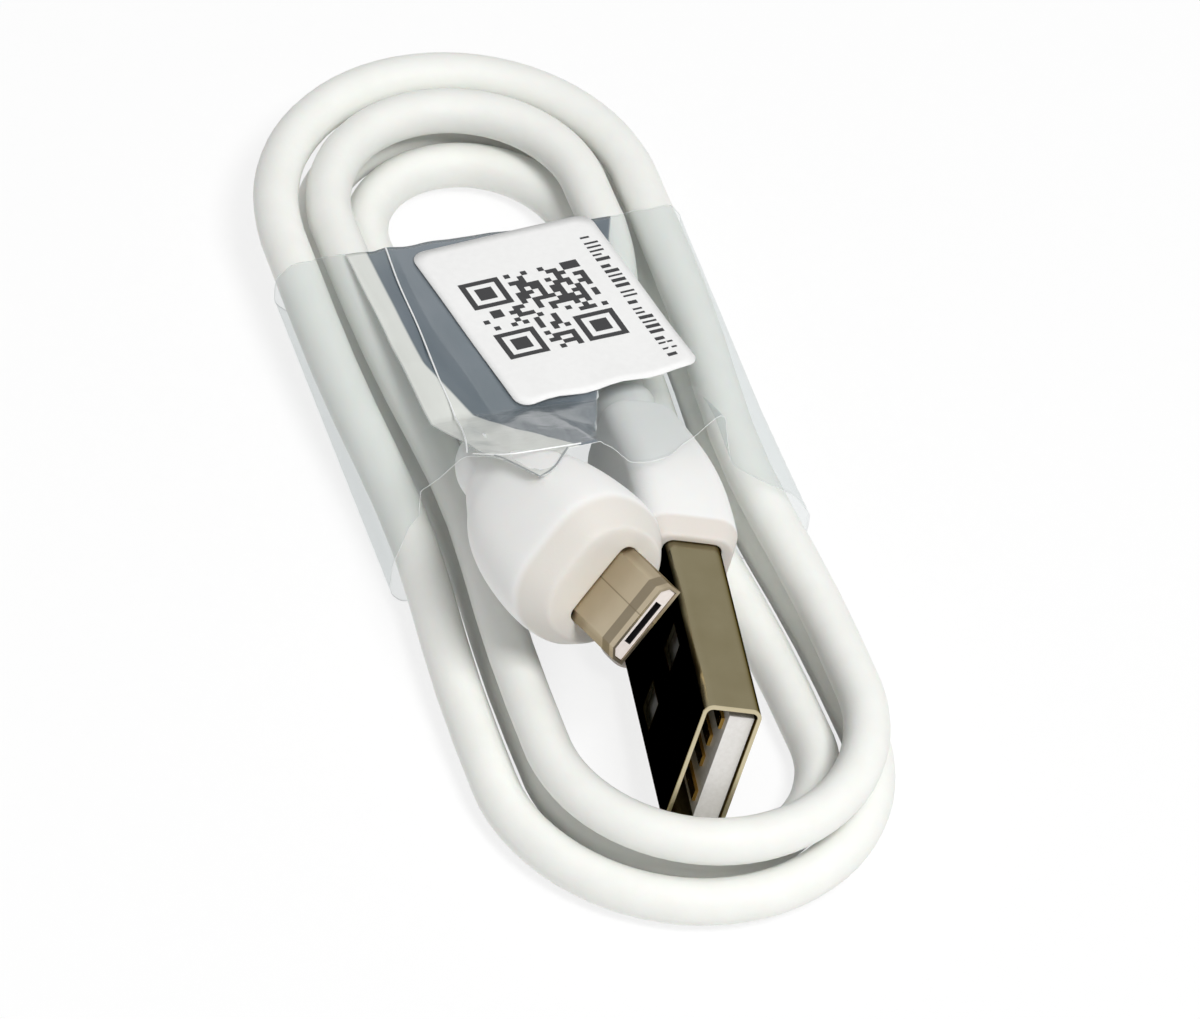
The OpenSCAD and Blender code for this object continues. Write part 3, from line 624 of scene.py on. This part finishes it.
# %% Outline of the band
FILM_X0, FILM_X1, FILM_KNEE = -22.8, 6.2, -1.5
FILM_LOW = LAYER_HIGH + CABLE_D / 2 + REST_GAP + FILM_T
KNEE_TOP, HIGH_TOP, LOW_HUMP, PLEAT = 10.8, 14.8, 15.7, 1.4
CROWN, HUMP = (-0.3, 9), (-10.9, -2)
FILM_CORNER = 1.1
FOOT_TUCK, BROW_TUCK = 4.1, 3.8
FILM_SIDE = CABLE_D / 2 + 0.15 + FILM_T
FILM_LEFT = HANK_W / 2 - HANK_Y + FILM_SIDE
FILM_RIGHT = HANK_W / 2 + HANK_Y - PITCH * (0.5 - RUN_SHARE / 2) + FILM_SIDE
FILM_SLOPE = (KNEE_TOP - FILM_LOW) / (FILM_KNEE - FILM_X0)
RUN_THIRD = (HANK_L / 2 - END_FULLNESS * HANK_W / 2) / 3


def between(x, x0, y0, x1, y1):
    return y0 + (y1 - y0) * min(1, max(0, (x - x0) / (x1 - x0)))


def draw_in(x):
    """The waist, followed in straight steps from one ring of the hank to the next."""
    marks = [HANK_X + RUN_THIRD * k for k in (-3, -1, 1, 3)]
    step = 0 if x < marks[1] else 1 if x < marks[2] else 2
    a, b = marks[step], marks[step + 1]
    return between(x, a, waist(a), b, waist(b))


def film_shoulder(x):
    pleat = PLEAT * max(0, x - FILM_KNEE) / (FILM_X1 - FILM_KNEE)
    return FILM_LOW + FILM_SLOPE * (min(x, FILM_KNEE) - FILM_X0) - pleat


def film_rise(x, high):
    climb = max(0, x - FILM_KNEE) / (FILM_X1 - FILM_KNEE)
    return film_shoulder(x) + (high - film_shoulder(FILM_X1)) * climb


def film_outline(x, g):
    left, right = FILM_LEFT - draw_in(x) - g, FILM_RIGHT - draw_in(x) - g
    top, hump = film_rise(x, HIGH_TOP) - g, film_rise(x, LOW_HUMP) - g
    c, low = FILM_CORNER, FILM_LOW - g
    near = between(x, FILM_X0, 0, FILM_X1, 1)
    foot = c + (FOOT_TUCK - c) * (1 - near)
    brow = c + (BROW_TUCK - c) * near
    return [(foot - left, g), (right - c, g), (right, g + c), (right, low - c), (right - c, low),
            (CROWN[1] + 1, film_shoulder(x) - g), (CROWN[1], top), (CROWN[0], top),
            (HUMP[1], hump), (HUMP[0], hump), (c - left, low), (-left, low - brow),
            (-left, g + foot)]


print("film top from", round(FILM_LOW, 2), "to", LOW_HUMP, "mm")


# %% [markdown]
# Each outline is cut into short even steps, and its corners are eased by averaging neighbours.
# The near edge isn't a straight cut: it bellies forward over the plugs and has a small V of
# slack over the micro grip.

# %% Skin of the band
FILM_STEPS_ROUND, FILM_STEPS_LONG = 230, 64
SLACK = 4.5
MID = 0.1
WRINKLE, ROUND_SPAN = 0.3, 75
SKIN_T = 0.045
LABEL_X, LABEL_Y = -12.3, 1.9
COVER_X, COVER_Y, COVER_FADE = 11.2, 8.6, 1.5
NOTCH_FROM, NOTCH_TIP, NOTCH_TO = -9.4, -8.7, -5.6
REACH_MICRO, REACH_A, REACH_WALL = 5.5, 4.4, 3.6
CLIMB_MICRO, CLIMB_A, CLIMB_NOTCH = 0.76, 0.25, 0.45
SPREAD, FLANK_PULL = 0.08, 1.6


def even_steps(corners, count):
    loop = [Vector(c) for c in corners]
    loop.append(loop[0])
    total = sum((b - a).length for a, b in zip(loop, loop[1:]))
    steps, walked, edge = [], 0, 0
    for k in range(count):
        while walked + (loop[edge + 1] - loop[edge]).length < total * k / count:
            walked += (loop[edge + 1] - loop[edge]).length
            edge += 1
        a, b = loop[edge], loop[edge + 1]
        steps.append(a.lerp(b, (total * k / count - walked) / (b - a).length))
    return steps


def eased(loop, rounds):
    for _ in range(rounds):
        loop = [(loop[i - 1] + 2 * p + loop[(i + 1) % len(loop)]) / 4
                for i, p in enumerate(loop)]
    return loop


def label_cover(x, y):
    """1 under the label, 0 away from it."""
    off = max(abs(x - LABEL_X) - COVER_X, abs(y - LABEL_Y) - COVER_Y)
    return between(off, 0, 1, COVER_FADE, 0)


def near_reach(y, z, slack):
    """How far the near edge reaches forward there, in mm: first the film, then the V alone."""
    wall = between(y, 10, 0, 15, REACH_WALL)
    if z < FILM_LOW - 1:
        return wall, 0
    notch = slack * min(between(y, NOTCH_FROM, 0, NOTCH_TIP, 1),
                        between(y, NOTCH_TIP, 1, NOTCH_TO, 0))
    over_micro = between(y, -13, 0, -9, REACH_MICRO) * between(y, -4, 1, -1, 0)
    over_a = between(y, -4, 0, -1, REACH_A) * between(y, 3, 1, 8.5, 0)
    return over_micro + over_a + wall, notch


def film_shape(x, y, z, slack=SLACK):
    """Past the knee the film stretches forward over both grips, and climbs with them."""
    near = between(x, FILM_KNEE, 0, FILM_X1, 1) ** 1.2
    reach, notch = (r * near for r in near_reach(y, z, slack))
    top = between(y, 8, 1, 10, 0) * (z > FILM_LOW - 1)
    climb = between(y, -3, CLIMB_MICRO, 0, CLIMB_A) * reach + CLIMB_NOTCH * notch
    flank = between(y, -14.5, 0, -13, 1) * between(y, -9.5, 1, -8, 0) * (z > FILM_LOW - 1)
    spread = SPREAD * reach * between(y, 12, 0, 14, 1) - FLANK_PULL * near * flank
    return Vector((x + reach + notch, y + spread, z + climb * top))


def film_point(x, step, around):
    end = (x - FILM_X0) / (FILM_X1 - FILM_X0)
    y, z = step
    wavy = noise.noise(Vector((3.1, y * 0.35, z * 0.35))) * 0.35
    top = z > FILM_LOW - 0.6
    fold = abs(noise.noise(Vector((x * 0.12, around * 0.42, 1.7)))) ** 0.7
    ripple = 0.5 + 0.5 * noise.noise(Vector((x * 0.45, y * 0.2, 7.3)))
    lift = WRINKLE * (1.1 * fold + 0.25 * ripple) * (1 - label_cover(x, y)) if top else 0.02
    point = film_shape(x, y, z)
    point.x += wavy * (end ** 6 - (1 - end) ** 6)
    point.z = point.z + lift if top else max(MID, point.z)
    return point


def film_skin():
    mesh = bmesh.new()
    rows = []
    around = ROUND_SPAN / FILM_STEPS_ROUND
    for k in range(FILM_STEPS_LONG + 1):
        x = FILM_X0 + (FILM_X1 - FILM_X0) * k / FILM_STEPS_LONG
        loop = eased(even_steps(film_outline(x, MID), FILM_STEPS_ROUND), 3)
        rows.append([mesh.verts.new(film_point(x, p, i * around) * MM)
                     for i, p in enumerate(loop)])
    for row, after in zip(rows, rows[1:]):
        for i in range(FILM_STEPS_ROUND):
            j = (i + 1) % FILM_STEPS_ROUND
            mesh.faces.new((row[i], after[i], after[j], row[j]))
    bmesh.ops.recalc_face_normals(mesh, faces=mesh.faces)
    data = mesh_data("film_wrap", mesh)
    data.shade_smooth()
    return data


film = bpy.data.objects.new("film_wrap", film_skin())
bpy.context.scene.collection.objects.link(film)
wall = film.modifiers.new("wall", "SOLIDIFY")
wall.thickness = SKIN_T * MM
wall.offset = 0
wall.material_offset_rim = 1
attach(film, "cable")
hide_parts("film_band")
print("film skin", len(film.data.polygons), "faces")

# %% [markdown]
# ## Clear film
# Polypropylene film is almost clear. The eye finds it by its glints, which Fresnel reflection
# makes stronger at a slant, by a slight haze, and by its cut edges, which gather light and look
# like thin white lines; here those edges are painted white, a painted highlight. A true refracting
# sheet would throw dark, noisy shadows, so the film is a mix of plain transparency and a glossy
# coat. Over the open middle of the hank the film is painted smoky blue grey, a painted shade,
# and beside it milky white, painted light over the shaded inner side of the cable. That patch is
# drawn in the material, from the object's own coordinates.

# %% Film material
# The painted patch is bounded by planes, each written as (x, y, z) weights and the least value in
# mm that still lies inside. It starts near the top of the upper layer. Two more planes part off
# its middle, painted blue grey as painted shade, from the side where white cable lies close
# beneath and the patch is painted milky white, painted light over the cable's shaded side.
PAINTED_PATCH_PLANES = (((0, 1, 0), -11.3), ((-0.384, -1, 0), -1.18), ((0, 0, 1), 7.5))
PAINTED_SHADE_PLANES = (((0, 1, 0), -9.75), ((-0.25, 1, 0), -7.66))


def inside(tree, where, weights, least, ease=0.12):
    """1 on the far side of a line, 0 on the near side, with a soft edge ease mm wide."""
    side = add(tree, "ShaderNodeVectorMath", {"Vector": where, "Vector_001": weights},
               operation="DOT_PRODUCT")
    return add(tree, "ShaderNodeMapRange", {
        "Value": side.outputs["Value"], "From Min": (least - ease) * MM,
        "From Max": (least + ease) * MM}, interpolation_type="SMOOTHSTEP")


def inside_all(tree, where, planes):
    """1 where a point is inside of every plane."""
    shares = [inside(tree, where, weights, least) for weights, least in planes]
    product = shares[0]
    for share in shares[1:]:
        product = add(tree, "ShaderNodeMath", {"Value": product, "Value_001": share},
                      operation="MULTIPLY")
    return product


def clear_film(name):
    made, tree, where = new_material(name)
    crinkle = add(tree, "ShaderNodeTexNoise", {"Vector": where, "Scale": per_mm(3.5),
                                               "Detail": 3, "Distortion": 0.6})
    relief = add(tree, "ShaderNodeBump", {"Height": crinkle, "Distance": 0.25 * MM,
                                          "Strength": 0.35})
    slant = add(tree, "ShaderNodeLayerWeight", {"Blend": 0.5, "Normal": relief}).outputs[1]
    steep = add(tree, "ShaderNodeMath", {"Value": slant, "Value_001": 4.0}, operation="POWER")
    gloss = add(tree, "ShaderNodeMapRange", {"Value": steep, "To Min": 0.02, "To Max": 0.16})
    patch, painted_shade = inside_all(tree, where, PAINTED_PATCH_PLANES), inside_all(tree, where, PAINTED_SHADE_PLANES)
    # The patch covers the clear film here with painted light and painted shade.
    thick = add(tree, "ShaderNodeMath", {"Value": patch, "Value_001": 0.72},
                operation="MULTIPLY")
    show = add(tree, "ShaderNodeMath", {"Value": gloss, "Value_001": thick},
               operation="MAXIMUM")
    cloud = add(tree, "ShaderNodeTexNoise", {"Vector": where, "Scale": per_mm(9), "Detail": 1})
    shade_grey = add(tree, "ShaderNodeMix", {"Factor": cloud, "A": paint("#5D6C74"),
                                       "B": paint("#7D8792")}, data_type="RGBA")
    painted_white_and_shade = add(tree, "ShaderNodeMix", {"Factor": painted_shade, "A": paint("#F2F4EF"), "B": shade_grey},
               data_type="RGBA")
    tint = add(tree, "ShaderNodeMix", {"Factor": patch, "A": paint("#D5DADB"), "B": painted_white_and_shade},
               data_type="RGBA")
    through = add(tree, "ShaderNodeBsdfTransparent", {"Color": paint("#FAFBFB")})
    skin = add(tree, "ShaderNodeBsdfPrincipled", {
        "Base Color": tint, "Roughness": 0.14, "IOR": 1.49, "Normal": relief})
    sheet = add(tree, "ShaderNodeMixShader", {"Fac": show, "Shader": through,
                                              "Shader_001": skin})
    add(tree, "ShaderNodeOutputMaterial", {"Surface": sheet})
    return made


CLEAR = clear_film("clear polypropylene film")
# The cut edges and folds of the film are painted white, a painted highlight.
FILM_GLINT = worked("painted highlight on the film's edges and folds", "#FFFFFF", "#E8ECEC", 0.8, 0.3, ior=1.49)
for look in (CLEAR, FILM_GLINT):
    film.data.materials.append(look)
print("film looks", [m.name for m in film.data.materials])

# %% Folds in the film
# A fold shows as a narrow ridge that catches the light, so each fold is a thin ribbon painted
# white, a painted highlight. One runs the length of the band where the film turns down to the
# lower side. Another follows the near edge over the micro grip, and the V of slack hangs from
# it; the V's ribbon is painted grey, a painted shade. Each follows the skin, a hair above it.
FOLD_W, FOLD_H = 0.13, 0.05
LIP_FROM, LIP_STEP, LIP_POINTS = -10.6, 0.35, 18
NOTCH_Y = (-9.5, -9.3, -9.1, -8.9, -8.7, -8.2, -7.6, -7, -6.4, -5.8)


def film_top(x, y):
    """Height of the film over a point, found between the corners of its outline."""
    top = [p for p in film_outline(min(x, FILM_X1), MID) if p[1] > FILM_LOW - 1]
    for (y1, z1), (y0, z0) in zip(top, top[1:]):
        if y0 <= y <= y1:
            return between(y, y0, z0, y1, z1)
    return FILM_LOW


def ribbon(name, points, width, lift):
    mesh = bmesh.new()
    rows = []
    for k, point in enumerate(points):
        before, after = points[max(0, k - 1)], points[min(len(points) - 1, k + 1)]
        along = (after - before).normalized()
        side = Vector((-along.y, along.x, 0)).normalized() * width / 2
        crest = Vector((0, 0, lift))
        rows.append([mesh.verts.new(p * MM) for p in
                     (point - side, point - side * 0.4 + crest, point + side * 0.4 + crest,
                      point + side)])
    for row, nxt in zip(rows, rows[1:]):
        for i in range(3):
            mesh.faces.new((row[i], nxt[i], nxt[i + 1], row[i + 1]))
    bmesh.ops.recalc_face_normals(mesh, faces=mesh.faces)
    data = mesh_data(name, mesh)
    data.shade_smooth()
    data.materials.append(FILM_GLINT)
    piece = bpy.data.objects.new(name, data)
    bpy.context.scene.collection.objects.link(piece)
    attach(piece, "cable")
    return piece


def on_film(x, y, lift=0.34, slack=0):
    return film_shape(x, y, film_top(x, y), slack) + Vector((0, 0, lift))


FOLD = [(-22.7, -8.2), (-18, -8.6), (-12.5, -8.8), (-6.5, -9.2), (-2.4, -9.4), (1, -9.9),
        (3.7, -10.4), (6.2, -10.9)]
fold_line = smooth_through([(x, y, 0) for x, y in FOLD])
ribbon("film_fold", [on_film(p.x, p.y) for p in fold_line], FOLD_W, FOLD_H)
ribbon("film_lip", [on_film(FILM_X1, LIP_STEP * k + LIP_FROM, 0.3) for k in range(LIP_POINTS)],
       FOLD_W, FOLD_H)
# The V's ribbon is painted grey, a painted shade along the fold.
notch = ribbon("film_notch", [on_film(FILM_X1, y, 0.25, SLACK) for y in NOTCH_Y], FOLD_W, FOLD_H)
notch.data.materials[0] = worked("shaded edge of the film", "#9DA2A3", "#7E8485", 0.8, 0.4,
                                 ior=1.49)
print("fold", round((Vector(FOLD[-1]) - Vector(FOLD[0])).length, 1), "mm long")

# %% [markdown]
# ## The label
# A paper label is stuck on the slope of the film. Its near edge has lifted a little and waves.
# The print is generic: a seeded square pattern with three frames, and a row of plain bars
# beside it, so that it says nothing. Small flat cells laid on the paper print sharper than a
# texture would, and they follow the wave because they use the same height function.

# %% Label sheet
LABEL_GAP, LABEL_TURN, LABEL_RINGS, PAPER_T = 0.02, 6.5, 12, 0.08
LABEL_AT = Vector((LABEL_X, LABEL_Y,
                   FILM_LOW + FILM_SLOPE * (LABEL_X - FILM_X0) + LABEL_GAP))
LABEL_L, LABEL_W, LABEL_T, LABEL_R = 20.4, 15, 0.12, 1.2
LABEL_PLACE = (Matrix.Translation(LABEL_AT)
               @ Matrix.Rotation(-math.atan(FILM_SLOPE), 4, "Y")
               @ Matrix.Rotation(math.radians(LABEL_TURN), 4, "Z"))


def label_height(x, y):
    near = max(0, (x - 2) / (LABEL_L / 2 - 2)) ** 2
    wave = 0.16 * (1 + math.sin(y * 1.15 + 0.6)) * near
    return LABEL_T + wave + 0.03 * (1 + math.sin(x * 0.5 + y * 0.3))


def on_label(x, y, above=0.0):
    return (LABEL_PLACE @ Vector((x, y, label_height(x, y) + above))) * MM


def label_skin():
    mesh = bmesh.new()
    centre = mesh.verts.new(on_label(0, 0))
    rows = []
    for k in range(1, LABEL_RINGS + 1):
        outline = rounded_outline(0, LABEL_L, LABEL_W, LABEL_R)
        ring = []
        for i, point in enumerate(outline):
            nxt = outline[(i + 1) % len(outline)]
            parts = 12 if (i + 1) % CORNER_POINTS == 0 else 1
            for step in range(parts):
                at = point.lerp(nxt, step / parts) * k / LABEL_RINGS
                ring.append(mesh.verts.new(on_label(at.y, at.z)))
        rows.append(ring)
    count = len(rows[0])
    for i in range(count):
        mesh.faces.new((centre, rows[0][i], rows[0][(i + 1) % count]))
    for row, after in zip(rows, rows[1:]):
        for i in range(count):
            mesh.faces.new((row[i], after[i], after[(i + 1) % count], row[(i + 1) % count]))
    bmesh.ops.recalc_face_normals(mesh, faces=mesh.faces)
    data = mesh_data("label_sheet", mesh)
    data.shade_smooth()
    return data


label = bpy.data.objects.new("label_sheet", label_skin())
bpy.context.scene.collection.objects.link(label)
paper_wall = label.modifiers.new("paper", "SOLIDIFY")
paper_wall.thickness = PAPER_T * MM
paper_wall.offset = -1 if label.data.polygons[0].normal.z > 0 else 1
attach(label, "cable")
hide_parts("label")
print("label", LABEL_L, "x", LABEL_W, "mm on a slope of",
      round(math.degrees(math.atan(FILM_SLOPE)), 1), "degrees")

# %% Square pattern and bars
CELLS, CELL = 21, 0.47
CODE_AT = (-0.3, -0.75)
FRAME = 7
FRAMES = ((0, 0), (CELLS - FRAME, 0), (CELLS - FRAME, CELLS - FRAME))
DARK_SHARE = 0.47
BARS_FROM, BARS_TO, BARS_Y = -7.6, 8.2, 5.6
dice = random.Random(11)


def in_frame(i, j):
    """None away from the frames, else whether a frame is dark there."""
    for a, b in FRAMES:
        u, v = i - a, j - b
        if -1 <= u <= FRAME and -1 <= v <= FRAME:
            ring = max(abs(u - FRAME // 2), abs(v - FRAME // 2))
            return ring in (0, 1, 3)
    return None


def cell_quads():
    quads = []
    for i in range(CELLS):
        for j in range(CELLS):
            dark = in_frame(i, j)
            if dark is None:
                dark = dice.random() < DARK_SHARE
            if dark:
                x = CODE_AT[0] + (i - CELLS / 2) * CELL
                y = CODE_AT[1] + (j - CELLS / 2) * CELL
                quads.append((x, y, CELL, CELL))
    return quads


def bar_quads():
    """Short bars of two lengths in one row, like the marks of a ruler."""
    quads, x = [], BARS_FROM
    while x < BARS_TO:
        tall = dice.choice((1.15, 1.15, 0.75))
        thick = dice.choice((0.22, 0.22, 0.4))
        quads.append((x, BARS_Y, thick, tall))
        x += thick + dice.choice((0.3, 0.3, 0.55))
    return quads


def print_skin(quads):
    mesh = bmesh.new()
    for x, y, long, wide in quads:
        corners = ((x, y), (x + long, y), (x + long, y + wide), (x, y + wide))
        mesh.faces.new([mesh.verts.new(on_label(*c, above=0.012)) for c in corners])
    bmesh.ops.remove_doubles(mesh, verts=mesh.verts, dist=0.001 * MM)
    return mesh_data("label_print", mesh)


PAPER = worked("matt coated paper", "#FBFBFA", "#F3F3F2", 0.5, 0.6, ior=1.5, relief=0.006)
INK = worked("black thermal print", "#2A2A2C", "#17171A", 0.2, 0.55, ior=1.5, relief=0.004)
label.data.materials.append(PAPER)
marks = bpy.data.objects.new("label_print", print_skin(cell_quads() + bar_quads()))
bpy.context.scene.collection.objects.link(marks)
marks.data.materials.append(INK)
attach(marks, "cable")
print("printed", len(marks.data.polygons), "cells and bars")

# %% [markdown]
# ## Floor, light and air
# Everything stands on a plain white floor. The key is a soft box close to the camera, so what
# faces the eye is bright and every round edge falls off to grey. It stands a little to the
# right, so the left sides are darker, and a weaker one hangs overhead. The world fills from all
# sides. The camera, and whatever mirrors or looks through, sees a white world and a floor that
# glows, which keeps metal and film clean and the ground white round its soft shadows.

# %% Floor
def seen_directly(tree):
    """1 for camera rays and for what glossy or clear surfaces see."""
    rays = add(tree, "ShaderNodeLightPath").outputs
    mirrored = add(tree, "ShaderNodeMath", {
        "Value": rays["Is Glossy Ray"], "Value_001": rays["Is Transmission Ray"]},
        operation="MAXIMUM")
    return add(tree, "ShaderNodeMath", {"Value": rays["Is Camera Ray"], "Value_001": mirrored},
               operation="MAXIMUM")


def studio_floor():
    made, tree, where = new_material("white studio board")
    fibre = add(tree, "ShaderNodeTexNoise", {"Vector": where, "Scale": per_mm(1.5), "Detail": 3})
    tint = add(tree, "ShaderNodeMix", {"Factor": fibre, "A": paint("#FAFAFA"),
                                       "B": paint("#FFFFFF")}, data_type="RGBA")
    share = add(tree, "ShaderNodeMath", {"Value": seen_directly(tree), "Value_001": 0.8},
                operation="MULTIPLY")
    board = add(tree, "ShaderNodeBsdfDiffuse", {"Color": tint})
    glow = add(tree, "ShaderNodeEmission", {"Color": paint("#FFFFFF"), "Strength": 1.0})
    both = add(tree, "ShaderNodeMixShader", {"Fac": share, "Shader": board,
                                             "Shader_001": glow})
    add(tree, "ShaderNodeOutputMaterial", {"Surface": both})
    return made


FLOOR_SIZE = 3
FLOOR_GAP = 0.02
plane = bmesh.new()
bmesh.ops.create_grid(plane, x_segments=8, y_segments=8, size=FLOOR_SIZE / 2)
floor = bpy.data.objects.new("floor", mesh_data("floor", plane))
floor.location.z = -FLOOR_GAP * MM
bpy.context.scene.collection.objects.link(floor)
floor.data.materials.append(studio_floor())
print("floor", FLOOR_SIZE, "m square")

# %% World and lamps
FILL = 0.32
KEY_AT = AIM + toward_eye * 0.8 + upward * 0.3 + level * 0.25
KEY_SIZE, KEY_POWER = 0.3, 5.2
TOP_AT = (-0.15, 0.1, 0.9)
TOP_SIZE, TOP_POWER = 0.5, 0.9

world = bpy.data.worlds.new("studio air")
bpy.context.scene.world = world
world.use_nodes = True
air = world.node_tree
air.nodes.clear()
bright = add(air, "ShaderNodeMapRange", {"Value": seen_directly(air), "To Min": FILL,
                                         "To Max": 1.0})
sky = add(air, "ShaderNodeBackground", {"Color": paint("#FFFFFF"), "Strength": bright})
add(air, "ShaderNodeOutputWorld", {"Surface": sky})


def soft_box(name, at, size, power):
    lamp = bpy.data.lights.new(name, "AREA")
    lamp.shape = "DISK"
    lamp.size = size
    lamp.energy = power
    holder = bpy.data.objects.new(name, lamp)
    holder.location = at
    holder.rotation_euler = (AIM - Vector(at)).to_track_quat("-Z", "Y").to_euler()
    bpy.context.scene.collection.objects.link(holder)


soft_box("key", KEY_AT, KEY_SIZE, KEY_POWER)
soft_box("top", TOP_AT, TOP_SIZE, TOP_POWER)
bpy.context.scene.view_settings.view_transform = "Standard"
print("world fill", FILL)
